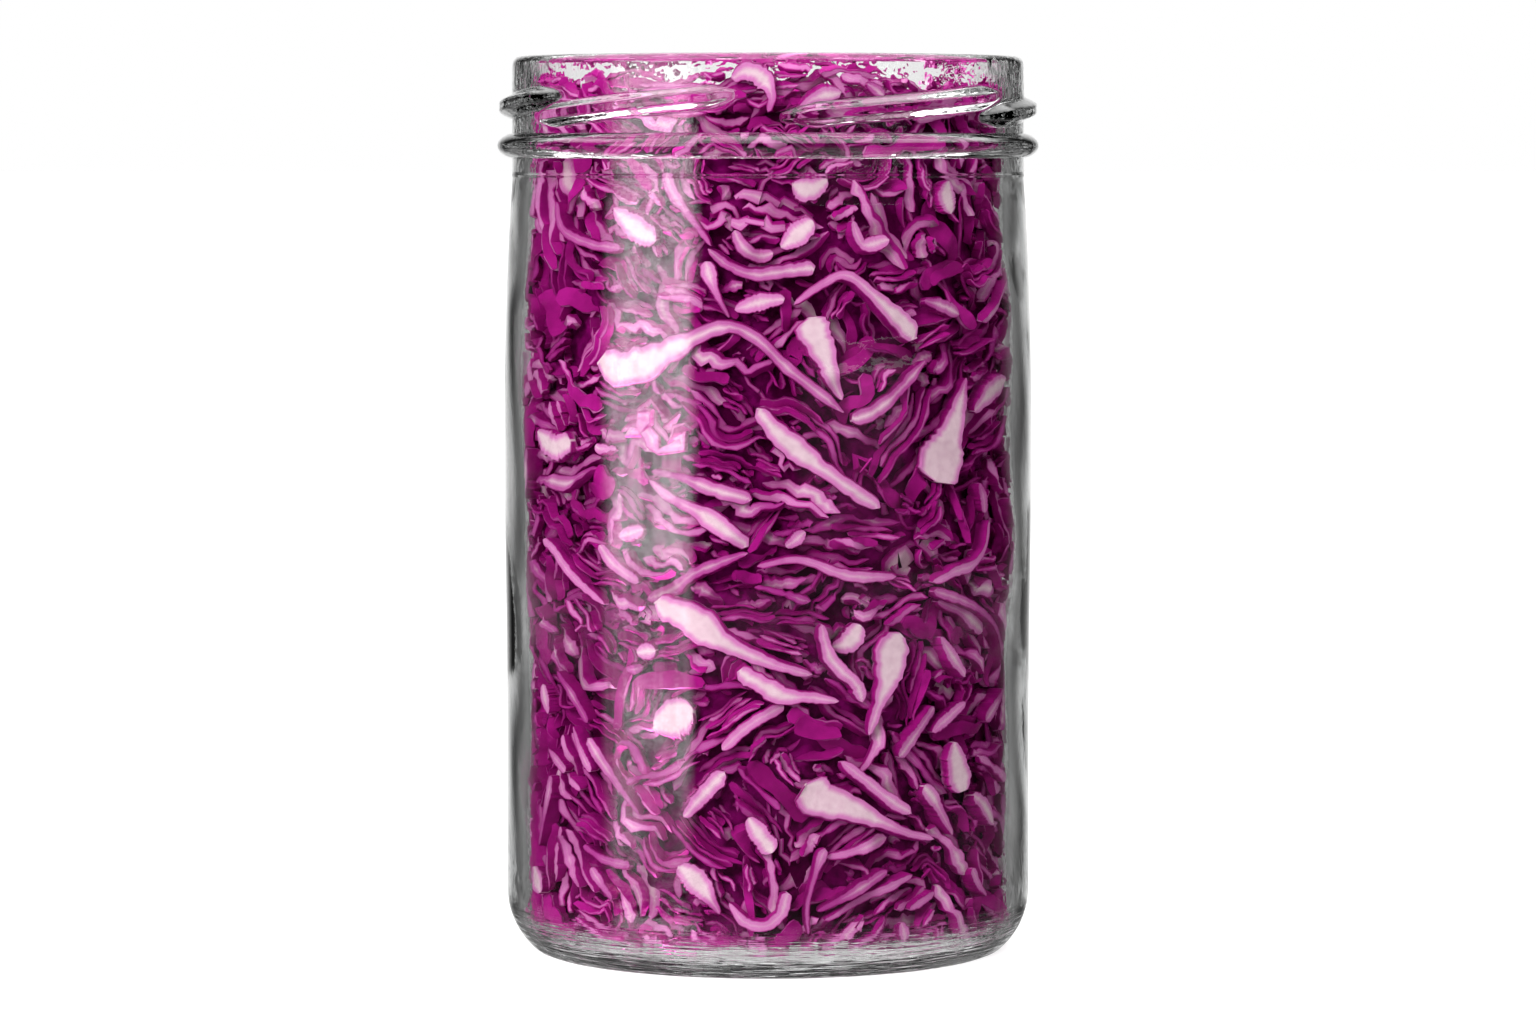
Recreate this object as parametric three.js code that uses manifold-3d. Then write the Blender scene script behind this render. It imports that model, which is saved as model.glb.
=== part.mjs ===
// A clear glass canning jar with a twist-off neck, open at the top, packed with shredded red cabbage.
// Millimetres, z up, the origin under the middle of the base. The front faces -y.

import * as THREE from 'three';
import { mergeVertices } from 'three/addons/utils/BufferGeometryUtils.js';
import Module from 'manifold-3d';

const wasm = await Module();
wasm.setup();

const { degToRad, lerp, clamp, smoothstep } = THREE.MathUtils;

// Driving dimensions of the jar
const jarHeight = 136.5;
const bellyRadius = 40.3;
const heelWallRadius = 40.05;
const neckRadius = 39.05;
const lipRadius = 38.95;
const mouthRadius = 36;
const bellyBore = 37.6;
const heelBore = 36.8;
const sides = 44;

// The wall swells a little from low down to the belly, and the shoulder is one long parabola up to
// the neck. Inside, the bore narrows to the mouth behind the shoulder.
const swellStarts = 42;
const swellEnds = 70;
const boreSwellEnds = 64;
const shoulderStarts = 82;
const shoulderTop = 118;
const boreNarrows = 96;
const mouthStarts = 115;

// Heel, base ring and the shallow push-up inside it
const heelArc = 11.6;
const heelTop = 9.2;
const ringOuter = 35.1;
const ringInner = 31;
const ringEdge = 0.35;
const pushUp = 2.2;

// Inside bottom: the floor, its low dome over the push-up, and the round corner up to the wall
const floorHeight = 3.4;
const floorDome = 1;
const domeRadius = 22;
const cornerArc = 3.6;
const cornerTop = floorHeight + cornerArc;
const flatFloor = heelBore - cornerArc;

// Transfer bead under the thread, and the six leads of the thread
const beadHeight = 122.95;
const beadHalfWidth = 1.9;
const beadCrest = 41.3;
const beadFillet = 0.15;
const threadCrest = 41;
const threadHalfWidth = 1.9;
const threadRoot = 0.7;
const threadStep = 7;
const threadLow = 127;
const threadHigh = 130.5;
const lipCorner = 1.3;
const mouthCorner = 1;

// Each mould half has the same three leads, as angles to the right of its own parting line
const leadsOfHalf = [[-62, -6], [2, 63], [52, 130]];
const mouldHalves = [0, 180];

// Driving dimensions of the cabbage
const wallGap = 0.5;
const coreDepth = 2;
const coreWaves = 0.5;
const coreSides = 24;
const dishRadius = 25;
const dishRim = 34;
const heapEdge = 131.4;
const heapMiddle = 128.6;
const heapHighest = 133.8;
const lowestShred = 5.4;
const shredThickness = 1.4;
const shredWidth = 2.5;
const stepLength = 5.5;
const seed = 20817;

// Edges of the joined solids that are nearer than this are drawn together
const sliver = 0.02;

// A seeded draw between 0 and 1
const makeDraw = (start) => {
  let state = start;
  return () => {
    state = (state + 0x6d2b79f5) | 0;
    let mixed = Math.imul(state ^ (state >>> 15), 1 | state);
    mixed = (mixed + Math.imul(mixed ^ (mixed >>> 7), 61 | mixed)) ^ mixed;
    return ((mixed ^ (mixed >>> 14)) >>> 0) / 4294967296;
  };
};

const draw = makeDraw(seed);
const between = (low, high) => lerp(low, high, draw());

// A closed three.js geometry as a solid. Corners that fall together on the axis leave no triangle.
const toSolid = (geometry) => {
  const bare = geometry.clone();
  bare.deleteAttribute('normal');
  bare.deleteAttribute('uv');
  const merged = mergeVertices(bare, 1e-5);
  const index = merged.index.array;
  const corners = [];
  for (let i = 0; i < index.length; i += 3) {
    const [a, b, c] = [index[i], index[i + 1], index[i + 2]];
    if (a !== b && b !== c && c !== a) corners.push(a, b, c);
  }
  return new wasm.Manifold(new wasm.Mesh({
    numProp: 3,
    vertProperties: new Float32Array(merged.attributes.position.array),
    triVerts: new Uint32Array(corners),
  }));
};

const toGeometry = (solid) => {
  const mesh = solid.getMesh();
  const geometry = new THREE.BufferGeometry();
  geometry.setAttribute('position', new THREE.BufferAttribute(mesh.vertProperties, 3));
  geometry.setIndex(new THREE.BufferAttribute(mesh.triVerts, 1));
  geometry.computeVertexNormals();
  return geometry;
};

// Joins solids into one body, without slivers. A hollow that they seal is filled, and a loose
// scrap is dropped.
const fuse = (solids) => {
  const shells = wasm.Manifold.union(solids).simplify(sliver).decompose();
  return shells.reduce((largest, shell) => (shell.volume() > largest.volume() ? shell : largest));
};

// Moves every vertex of a geometry by a function of its position
const reshape = (geometry, move) => {
  const position = geometry.attributes.position;
  const point = new THREE.Vector3();
  for (let i = 0; i < position.count; i += 1) {
    const moved = move(point.fromBufferAttribute(position, i));
    position.setXYZ(i, moved.x, moved.y, moved.z);
  }
  return geometry;
};

// A solid of revolution about z from a profile of [radius, height] points, given anticlockwise
const revolve = (profile, around) => {
  const points = profile.map(([radius, height]) => new THREE.Vector2(radius, height));
  return new THREE.LatheGeometry(points, around).rotateX(Math.PI / 2);
};

// A point at a radius and a height, with its angle measured to the right of the front
const onWall = (radius, angle, height) =>
  new THREE.Vector3(radius * Math.sin(angle), -radius * Math.cos(angle), height);

// Points [radius, height] along a circular arc of the profile, its angles from the outward direction
const arc = (centre, radius, fromDegrees, toDegrees, steps) =>
  Array.from({ length: steps + 1 }, (_, i) => {
    const angle = degToRad(lerp(fromDegrees, toDegrees, i / steps));
    return [centre[0] + radius * Math.cos(angle), centre[1] + radius * Math.sin(angle)];
  });

const outsideRadius = (z) => {
  const belly = lerp(heelWallRadius, bellyRadius, smoothstep(z, swellStarts, swellEnds));
  const climb = clamp((z - shoulderStarts) / (shoulderTop - shoulderStarts), 0, 1);
  return belly - (bellyRadius - neckRadius) * climb * climb;
};

const insideRadius = (z) => {
  const wall = lerp(heelBore, bellyBore, smoothstep(z, swellStarts, boreSwellEnds));
  const bore = wall - (bellyBore - mouthRadius) * smoothstep(z, boreNarrows, mouthStarts);
  if (z >= cornerTop) return bore;
  const drop = Math.min(cornerTop - z, cornerArc);
  return flatFloor + Math.sqrt(cornerArc ** 2 - drop ** 2);
};

const insideFloor = (radius) => {
  if (radius > flatFloor) {
    return cornerTop - Math.sqrt(Math.max(cornerArc ** 2 - (radius - flatFloor) ** 2, 0));
  }
  return floorHeight + floorDome * (1 - smoothstep(radius, 0, domeRadius));
};

// Glass jar: the revolved body with its lip and bead, and the ridges of the thread joined on
const jarProfile = () => {
  const heelCentre = [heelWallRadius - heelArc, heelTop];
  const heelEnd = -Math.asin((heelTop - ringEdge) / heelArc) * 180 / Math.PI;
  const hollow = [0, 0.5, 0.85, 1].map((share) => [ringInner * share, pushUp * (1 - share ** 4)]);
  const heel = arc(heelCentre, heelArc, heelEnd, 0, 5);
  const outerWall = [swellStarts, 56, swellEnds, shoulderStarts, 94, 106, shoulderTop]
    .map((z) => [outsideRadius(z), z]);
  const bead = [-1, -0.7, 0, 0.7, 1].map((share) => [
    lerp(neckRadius + beadFillet, beadCrest, Math.sqrt(1 - share * share)),
    beadHeight + share * beadHalfWidth,
  ]);
  const lip = arc([lipRadius - lipCorner, jarHeight - lipCorner], lipCorner, 0, 90, 3);
  const mouth = arc([mouthRadius + mouthCorner, jarHeight - mouthCorner], mouthCorner, 90, 180, 2);
  const innerWall = [mouthStarts, 108, 102, boreNarrows, boreSwellEnds, 53, swellStarts]
    .map((z) => [insideRadius(z), z]);
  const corner = arc([flatFloor, cornerTop], cornerArc, 0, -90, 4);
  const floor = [domeRadius, domeRadius / 2, 0].map((radius) => [radius, insideFloor(radius)]);
  return [...hollow, [ringOuter, 0], ...heel, ...outerWall, ...bead, ...lip, ...mouth, ...innerWall, ...corner, ...floor];
};

// One lead of the thread: a ridge that climbs round the neck, low and pointed at both ends. Its
// section is drawn as shares of the ridge's height and half width, and its root is in the neck.
const threadLead = (startDegrees, endDegrees) => {
  const section = new THREE.Shape([
    [-threadRoot, -1], [0.05, -1], [1, -0.35], [1, 0.35], [0.05, 1], [-threadRoot, 1],
  ].map(([out, up]) => new THREE.Vector2(out, up)));
  const steps = Math.round((endDegrees - startDegrees) / threadStep);
  const ridge = new THREE.ExtrudeGeometry(section, { depth: 1, steps, bevelEnabled: false });
  return reshape(ridge, ({ x, y, z }) => {
    const ends = smoothstep(Math.min(z, 1 - z), -0.03, 0.14);
    const out = x > 0 ? x * ends * (threadCrest - neckRadius) : x;
    const height = lerp(threadHigh, threadLow, z) + y * threadHalfWidth * lerp(0.35, 1, ends);
    return onWall(neckRadius + out, degToRad(lerp(endDegrees, startDegrees, z)), height);
  });
};

const makeJar = () => {
  const leads = mouldHalves.flatMap((turn) => leadsOfHalf.map(
    ([start, end]) => toSolid(threadLead(start + turn, end + turn)),
  ));
  return fuse([toSolid(revolve(jarProfile(), sides)), ...leads]);
};

// Cabbage core: the packed middle of the heap, lumpy all over, with a dished top
const heapTop = (radius) => lerp(heapMiddle, heapEdge, smoothstep(radius, dishRadius, dishRim));

const makeCore = () => {
  const bottom = [[0, 6.9], [12, 6.4], [25, 5.8], [31.5, 6.8], [34.2, 10.5]];
  const side = [18, 34, 50, 66, 82, 98, 114].map((z) => [insideRadius(z) - coreDepth, z]);
  const shoulder = [[mouthRadius - coreDepth, heapEdge - 2.5], [33, heapEdge]];
  const top = [29.5, dishRadius, 14, 0].map((radius) => [radius, heapTop(radius)]);
  const profile = [...bottom, ...side, ...shoulder, ...top];
  return toSolid(reshape(revolve(profile, coreSides), (point) => {
    const angle = Math.atan2(point.x, -point.y);
    const radius = Math.hypot(point.x, point.y);
    const wave = Math.sin(5 * angle + point.z * 0.21) + Math.sin(9 * angle - point.z * 0.33);
    const share = 1 + coreWaves * wave * smoothstep(radius, 4, 24) / Math.max(radius, 1);
    return point.set(point.x * share, point.y * share, point.z);
  }));
};

// A strip of cabbage before it is laid: x runs along it from -1 to 1, y across it and z through it
const strip = (length) => {
  const steps = Math.max(4, Math.round(length / stepLength));
  return new THREE.BoxGeometry(2, 2, 2, steps, 1, 1);
};

// How wide a shred is along its length: tapered ends, and a bulb where it was cut through a rib
const widthAlong = (share, { width, bulb = 0, bulbAt = 0 }) => {
  const ends = Math.sqrt(Math.max(1 - Math.abs(share) ** 3, 0.1));
  return width * ends * (1 + bulb * Math.exp(-(((share - bulbAt) / 0.3) ** 2)));
};

// A point of a strip on the flat, as its distance to the right and up from the shred's middle
const flatPoint = (x, y, shred) => {
  const heading = degToRad(shred.heading);
  const along = x * shred.length / 2;
  const aside = shred.bend * (x * x - 0.4) + y * widthAlong(x, shred) / 2;
  return [
    along * Math.cos(heading) - aside * Math.sin(heading),
    along * Math.sin(heading) + aside * Math.cos(heading),
  ];
};

// A shred pressed against the inside of the glass. Angles are in degrees and lengths in millimetres.
const wallShred = (shred) => {
  const slope = Math.abs(Math.sin(degToRad(shred.heading)));
  const rise = slope * shred.length / 2 + Math.abs(shred.bend) + shred.width;
  const middle = clamp(shred.height, lowestShred + rise, heapHighest - rise);
  return toSolid(reshape(strip(shred.length), ({ x, y, z }) => {
    const [right, up] = flatPoint(x, y, shred);
    const height = middle + up;
    const reach = insideRadius(height) - wallGap - (z > 0 ? shred.depth : coreDepth + shredThickness);
    return onWall(reach, degToRad(shred.angle) + right / bellyBore, height);
  }));
};

// A shred lying on a dished surface: over the top of the heap, or under it where side is -1
const lyingShred = (shred, surface, side) => {
  const [middleX, middleY] = onWall(shred.radius, degToRad(shred.angle), 0);
  return toSolid(reshape(strip(shred.length), ({ x, y, z }) => {
    const [right, up] = flatPoint(x, y * side, shred);
    const plan = new THREE.Vector3(middleX + right, middleY + up, 0);
    plan.z = surface(plan.length()) + side * (z > 0 ? shred.proud : -shredThickness * 2);
    return plan;
  }));
};

// The largest shreds that show from the front: ribs with a bulb, and long thin cuts.
// angle, height, length, heading, width, bulb and where along the shred the bulb sits
const largestShreds = [
  [-14, 92, 42, -8, 2, 1.9, -0.72, 4.5],
  [14, 91, 14, -66, 2, 1.9, -0.5, 0.8],
  [46, 80, 17, 62, 1.6, 3.2, -0.6, 0.8],
  [11, 77, 23, -38, 3, 0.3, 0, 0.5],
  [-8, 50, 26, -24, 2.4, 1.3, -0.4, 0.5],
  [4, 43, 16, -16, 2.2, 0.7, -0.3, 1],
  [28, 44, 16, -74, 2.2, 1.6, -0.5, 1.5],
  [25, 24, 23, -25, 2, 2.4, -0.62, 0.4],
  [50, 30, 9, -62, 3, 0.7, 0, 0.4],
  [-22, 38, 8, 18, 3.6, 0.7, 0, 0.4],
  [-33, 111, 9, -28, 3.2, 0.6, 0, 0.4],
  [47, 115, 6, -78, 3, 0.5, 0, 0.3],
  [10, 117, 8, 4, 3, 0.5, 0, 0.3],
  [-57, 79, 8, 6, 3.4, 0.5, 0, 0.3],
  [-76, 74, 9, -55, 2.4, 0.6, 0, 0.3],
  [-16, 70, 18, -26, 2.4, 0.4, 0, 0.8],
  [-16, 60, 18, 22, 2.2, 0.2, 0, 0.8],
  [28, 87, 14, 32, 2.6, 0.3, 0, 0.5],
  [18, 102, 20, 12, 2.2, 1, 0.5, -3],
  [-16, 14, 9, -38, 2.8, 0.6, -0.4, 0.6],
];

const makeLargest = () => largestShreds.map(
  ([angle, height, length, heading, width, bulb, bulbAt, bend]) =>
    wallShred({ angle, height, length, heading, width, bulb, bulbAt, bend, depth: 0 }),
);

// The other shreds at the glass, spread by the golden angle in even steps of height. Packing turned
// them in swirls, so neighbours lie nearly alike.
const makeWallShreds = (count) => {
  const goldenAngle = 137.508;
  const lowest = 9;
  const highest = 129;
  return Array.from({ length: count }, (_, i) => {
    const angle = i * goldenAngle;
    const height = lerp(lowest, highest, (i + 0.5) / count);
    const swirl = Math.sin(2 * degToRad(angle) + height / 13);
    return wallShred({
      angle,
      height,
      length: between(16, 34),
      heading: 38 * swirl - 8 + between(-20, 20),
      width: shredWidth * between(0.8, 1.6),
      bulb: draw() < 0.3 ? between(0.5, 1.4) : 0,
      bulbAt: between(-0.6, 0.6),
      bend: between(-2.4, 2.4),
      depth: between(0, 0.9),
    });
  });
};

// Shreds in rings from the middle out. Those of the last ring follow the wall.
const lieInRings = (rings, surface, side, highest) => rings.flatMap(
  ([radius, count]) => Array.from({ length: count }, (_, i) => {
    const angle = (i + between(-0.3, 0.3)) * 360 / count;
    const atWall = radius > 30;
    const length = atWall ? between(12, 20) : between(13, 24);
    return lyingShred({
      radius,
      angle,
      length,
      heading: atWall ? angle + between(-6, 6) : between(0, 180),
      width: shredWidth * between(0.8, 1.4),
      bend: atWall ? side * length * length / (8 * radius) : between(-2.2, 2.2),
      proud: between(0.5, atWall ? highest : 1.3),
    }, surface, side);
  }),
);

const makeTopShreds = () => lieInRings([[5, 2], [13, 4], [20, 6], [31.5, 11]], heapTop, 1, 2.2);

const makeBottomShreds = () => {
  const coreBottom = (radius) => insideFloor(radius) + wallGap + shredThickness;
  return lieInRings([[7, 2], [17, 5]], coreBottom, -1, shredThickness);
};

const makeCabbage = () => fuse([
  makeCore(), ...makeLargest(), ...makeWallShreds(52), ...makeTopShreds(), ...makeBottomShreds(),
]);

// Materials and the finished object
const glass = new THREE.MeshStandardMaterial({
  color: 0xe9efec, roughness: 0.03, metalness: 0, transparent: true, opacity: 0.35,
});
const redCabbage = new THREE.MeshStandardMaterial({ color: 0x8b2c6b, roughness: 0.45, metalness: 0 });

const piece = (name, solid, material) => {
  const mesh = new THREE.Mesh(toGeometry(solid), material);
  mesh.name = name;
  return mesh;
};

const jarOfCabbage = new THREE.Group();
jarOfCabbage.add(
  piece('jar', makeJar(), glass),
  piece('cabbage', makeCabbage(), redCabbage),
);

export default jarOfCabbage;
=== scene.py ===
# A clear glass canning jar with a twist-off neck, open at the top and packed with shredded red cabbage.
# Shapes are worked out in millimetres, z up, with the front of the jar at -y, and made in metres.

import math
from collections import namedtuple

import bmesh
import bpy
import numpy as np
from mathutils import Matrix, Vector


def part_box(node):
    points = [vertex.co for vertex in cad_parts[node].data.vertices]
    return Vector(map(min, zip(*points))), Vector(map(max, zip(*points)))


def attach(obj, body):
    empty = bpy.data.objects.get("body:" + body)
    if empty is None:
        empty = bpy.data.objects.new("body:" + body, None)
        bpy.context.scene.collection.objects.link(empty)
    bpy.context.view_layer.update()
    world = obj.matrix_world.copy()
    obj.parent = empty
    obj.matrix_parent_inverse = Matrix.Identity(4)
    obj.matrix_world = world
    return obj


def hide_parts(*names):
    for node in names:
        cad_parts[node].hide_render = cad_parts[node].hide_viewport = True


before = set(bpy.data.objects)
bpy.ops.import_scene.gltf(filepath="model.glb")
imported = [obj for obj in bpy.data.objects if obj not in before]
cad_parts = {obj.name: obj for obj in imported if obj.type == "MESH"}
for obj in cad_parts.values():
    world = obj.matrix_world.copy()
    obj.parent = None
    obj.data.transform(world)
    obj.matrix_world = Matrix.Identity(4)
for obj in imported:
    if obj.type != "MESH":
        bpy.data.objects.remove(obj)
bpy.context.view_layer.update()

MM = 0.001
DEGREE = math.pi / 180
draw = np.random.default_rng(20817)


# Sizes of the glass, in millimetres

glass_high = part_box("jar")[1]
JAR_HEIGHT = glass_high.z / MM
BEAD_CREST = glass_high.x / MM
BELLY_RADIUS = 40.3
HEEL_WALL_RADIUS = 40.05
NECK_RADIUS = 39.05
LIP_RADIUS = 38.95
MOUTH_RADIUS = 36.0
BELLY_BORE = 37.6
HEEL_BORE = 36.8
SWELL_STARTS, SWELL_ENDS, BORE_SWELL_ENDS = 42.0, 70.0, 64.0
WALL_STARTS, SHOULDER_STARTS, SHOULDER_TOP = 13.0, 82.0, 118.0
BORE_NARROWS, MOUTH_STARTS = 96.0, 115.0
HEEL_ARC, HEEL_TOP = 11.6, 9.2
RING_OUTER, RING_INNER, RING_EDGE, PUSH_UP = 35.1, 31.0, 0.35, 2.2
FLOOR_HEIGHT, FLOOR_DOME, DOME_RADIUS, CORNER_ARC = 3.4, 1.0, 22.0, 3.6
CORNER_TOP = FLOOR_HEIGHT + CORNER_ARC
FLAT_FLOOR = HEEL_BORE - CORNER_ARC
BEAD_HEIGHT, BEAD_HALF_WIDTH, BEAD_FULLNESS = 122.95, 1.9, 0.7
PARTING_HEIGHT, PARTING_PROUD, PARTING_WIDTH = 118.5, 0.12, 0.16
LIP_CORNER, MOUTH_CORNER = 1.3, 1.0
WALL_WAVES, WAVES_MEET_CORNER, WAVES_MEET_MOUTH = 0.045, 14.0, 6.0
WELD = 0.002
AROUND = 400

# The thread: bearings in degrees where the leads of one half start and end, and how each rises and fades
LEADS_OF_HALF = [(-62, -6), (2, 63), (52, 130)]
THREAD_FOOT, THREAD_HEAD = 125.1, 132.7
THREAD_CREST, THREAD_HALF_WIDTH, THREAD_LOW, THREAD_HIGH = 41.0, 1.9, 127.0, 130.5
LEAD_FADE, LEAD_END_WIDTH, LEAD_FLAT = 0.16, 0.35, 0.3


# Sizes of the cabbage, in millimetres

GLASS_GAP = 0.08
EDGE_HEIGHT = 133.4
HEAP_EDGE = 131.6
HEAP_MIDDLE = 129.2
DISH_RADIUS, DISH_RIM = 25.0, 34.0
CORE_DEPTH = 3.1
TOP_LAYERS = 3.6
TOP_RADIUS = 35.4
UNDER_RADIUS = FLAT_FLOOR + 1.2

# How far the heap's edge rises and falls, with the bearing and the spread of each in degrees
EDGE_RISE = (2.2, 4, 27)
EDGE_FALL = (1.1, 62, 16)


def smoothstep(x, low, high):
    t = np.clip((x - low) / (high - low), 0, 1)
    return t * t * (3 - 2 * t)


def blend(low, high, share):
    return low + (high - low) * share


def outside_radius(z):
    belly = blend(HEEL_WALL_RADIUS, BELLY_RADIUS, smoothstep(z, SWELL_STARTS, SWELL_ENDS))
    climb = np.clip((z - SHOULDER_STARTS) / (SHOULDER_TOP - SHOULDER_STARTS), 0, 1)
    return belly - (BELLY_RADIUS - NECK_RADIUS) * climb**2


def inside_radius(z):
    wall = blend(HEEL_BORE, BELLY_BORE, smoothstep(z, SWELL_STARTS, BORE_SWELL_ENDS))
    return wall - (BELLY_BORE - MOUTH_RADIUS) * smoothstep(z, BORE_NARROWS, MOUTH_STARTS)


def inside_floor(radius):
    flat = FLOOR_HEIGHT + FLOOR_DOME * (1 - smoothstep(radius, 0, DOME_RADIUS))
    rise = np.sqrt(np.maximum(CORNER_ARC**2 - np.maximum(radius - FLAT_FLOOR, 0) ** 2, 0))
    return np.where(radius > FLAT_FLOOR, CORNER_TOP - rise, flat)


# The camera: its distance, height and tilt follow from the ellipses of the lip and the base

PHOTO_WIDTH, PHOTO_HEIGHT = 1536, 1024
HORIZON_ROW = 150
AXIS_PIXEL = 767.7
FOCAL_PIXELS = 5601
PIXELS_PER_MM = 6.75
CAMERA_DISTANCE, CAMERA_HEIGHT = 857.0, 122.3
CAMERA_TILT = math.atan2(PHOTO_HEIGHT / 2 - HORIZON_ROW, FOCAL_PIXELS)
SENSOR = 36.0


def make_camera():
    data = bpy.data.cameras.new("camera")
    data.sensor_width = SENSOR
    data.lens = SENSOR * FOCAL_PIXELS / PHOTO_WIDTH
    camera = bpy.data.objects.new("camera", data)
    camera.location = (0, -CAMERA_DISTANCE * MM, CAMERA_HEIGHT * MM)
    camera.rotation_euler = (math.pi / 2 - CAMERA_TILT, 0, 0)
    bpy.context.scene.collection.objects.link(camera)
    bpy.context.scene.camera = camera


def seen_on_wall(pixel):
    """Angle to the right of the front, in radians, and height of the point of the wall at a pixel."""
    across = (pixel[0] - AXIS_PIXEL) / FOCAL_PIXELS
    down = (pixel[1] - PHOTO_HEIGHT / 2) / FOCAL_PIXELS
    angle, height = 0.0, JAR_HEIGHT / 2
    for _ in range(30):
        away = CAMERA_DISTANCE - BELLY_BORE * math.cos(angle)
        depth = away * math.cos(CAMERA_TILT) + (CAMERA_HEIGHT - height) * math.sin(CAMERA_TILT)
        angle = math.asin(max(-0.999, min(0.999, across * depth / BELLY_BORE)))
        height = CAMERA_HEIGHT - (down * depth + away * math.sin(CAMERA_TILT)) / math.cos(CAMERA_TILT)
    return angle, height


# Shader sums are written as Python expressions on sockets


class Nodes:
    """The nodes of one material or world."""

    def __init__(self, owner):
        owner.use_nodes = True
        self.tree = owner.node_tree
        self.tree.nodes.clear()

    def add(self, kind, settings=None, **inputs):
        """A node with its settings, and a value or link for each socket, by name or by number as in _0."""
        node = self.tree.nodes.new(kind)
        for name, value in (settings or {}).items():
            setattr(node, name, value)
        for name, value in inputs.items():
            key = int(name[1:]) if name[0] == "_" else name.replace("_", " ")
            self.feed(node.inputs[key], value)
        return node

    def feed(self, socket, value):
        if isinstance(value, Value):
            self.tree.links.new(value.socket, socket)
        else:
            socket.default_value = value

    def out(self, kind, output=0, settings=None, **inputs):
        return Value(self, self.add(kind, settings, **inputs).outputs[output])

    def attribute(self, name):
        return self.out("ShaderNodeAttribute", "Fac", {"attribute_name": name})

    def mix(self, share, first, second):
        return self.out("ShaderNodeMix", 2, {"data_type": "RGBA", "clamp_factor": True},
                        _0=share, _6=first, _7=second)

    def noise(self, place, scale=1.0, detail=3.0, rough=0.55):
        return self.out("ShaderNodeTexNoise", "Fac", Vector=place, Scale=scale, Detail=detail,
                        Roughness=rough)

    def stretched(self, place, factors):
        return self.out("ShaderNodeVectorMath", 0, {"operation": "MULTIPLY"}, _0=place, _1=factors)

    def finish(self, shader, output="ShaderNodeOutputMaterial"):
        self.tree.links.new(shader.outputs[0], self.tree.nodes.new(output).inputs[0])


class Value:
    """A node's output that sums can be written with."""

    def __init__(self, nodes, socket):
        self.nodes = nodes
        self.socket = socket

    def math(self, operation, *others, first=True):
        values = (self, *others) if first else (*others, self)
        inputs = {f"_{i}": value for i, value in enumerate(values)}
        return self.nodes.out("ShaderNodeMath", 0, {"operation": operation}, **inputs)

    def __add__(self, other):
        return self.math("ADD", other)

    def __sub__(self, other):
        return self.math("SUBTRACT", other)

    def __rsub__(self, other):
        return self.math("SUBTRACT", other, first=False)

    def __mul__(self, other):
        return self.math("MULTIPLY", other)

    def __truediv__(self, other):
        return self.math("DIVIDE", other)

    def __pow__(self, other):
        return self.math("POWER", other)

    __radd__ = __add__
    __rmul__ = __mul__

    def clamped(self):
        return self.nodes.out("ShaderNodeClamp", Value=self)

    def step(self, low, high):
        """Rises smoothly from 0 at low to 1 at high."""
        return self.nodes.out("ShaderNodeMapRange", 0, {"interpolation_type": "SMOOTHSTEP"}, Value=self,
                              _1=low, _2=high)


def rgb(red, green, blue):
    return (red, green, blue, 1.0)


# Materials. Heights are in metres, as Object coordinates are, and depths in a leaf in millimetres

DARK_SKIN = rgb(0.20, 0.003, 0.105)
BRIGHT_SKIN = rgb(0.42, 0.010, 0.235)
DEEP_FLESH = rgb(0.34, 0.028, 0.22)
LILAC_FLESH = rgb(0.62, 0.19, 0.47)
CREAM_FLESH = rgb(0.74, 0.54, 0.61)
# Painted shade for shreds that lie deeper behind others
SHADED_LEAF = rgb(0.15, 0.0015, 0.075)
# Painted shade and painted light for the core's folds, darker than the skins in front
SHADED_FOLD = rgb(0.05, 0.0004, 0.025)
LIT_FOLD = rgb(0.18, 0.002, 0.10)

NECK_RIPPLES, NECK_RIPPLE_HEIGHTS = 0.4, (0.112, 0.132)
BASE_RIPPLES, BASE_RIPPLE_HEIGHTS = 0.2, (0.002, 0.022)
WALL_RIPPLES = 0.03
BASE_STREAKS, BASE_STREAK_HEIGHTS = 2.2, (0.0035, 0.009)
STREAK_STRETCH = (90.0, 90.0, 2000.0)

RIM_OF_SKIN = (0.08, 0.36)
CREAM_STARTS = (0.5, 1.5)
# Depths in millimetres over which the painted shade of deeper shreds comes in, and its share
SHADE_STARTS, SHADE_SHARE = (0.9, 2.9), 0.5


def glass_material():
    """Clear glass, faintly rippled in the neck and near the base as pressed glass is."""
    material = bpy.data.materials.new("clear_glass")
    nodes = Nodes(material)
    place = nodes.out("ShaderNodeTexCoord", "Object")
    height = nodes.out("ShaderNodeSeparateXYZ", 2, Vector=place)
    near_base = (1.0 - height.step(*BASE_RIPPLE_HEIGHTS)) * BASE_RIPPLES
    rippled = height.step(*NECK_RIPPLE_HEIGHTS) * NECK_RIPPLES + near_base + WALL_RIPPLES
    ripples = nodes.noise(place, 420.0, 2.0, 0.5) * rippled
    streaked = (1.0 - height.step(*BASE_STREAK_HEIGHTS)) * BASE_STREAKS
    streaks = nodes.noise(nodes.stretched(place, STREAK_STRETCH), 1.0, 2.0, 0.5) * streaked
    bump = nodes.out("ShaderNodeBump", Strength=0.35, Distance=0.0006, Height=ripples + streaks)
    glass = nodes.add("ShaderNodeBsdfPrincipled", Base_Color=rgb(0.975, 0.985, 0.98), Roughness=0.0,
                      IOR=1.5, Transmission_Weight=1.0, Normal=bump)
    clear = nodes.add("ShaderNodeBsdfTransparent", Color=rgb(0.93, 0.94, 0.935))
    mixed = nodes.add("ShaderNodeMixShader", _0=nodes.out("ShaderNodeLightPath", "Is Shadow Ray"),
                      _1=Value(nodes, glass.outputs[0]), _2=Value(nodes, clear.outputs[0]))
    nodes.finish(mixed)
    return material


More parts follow.
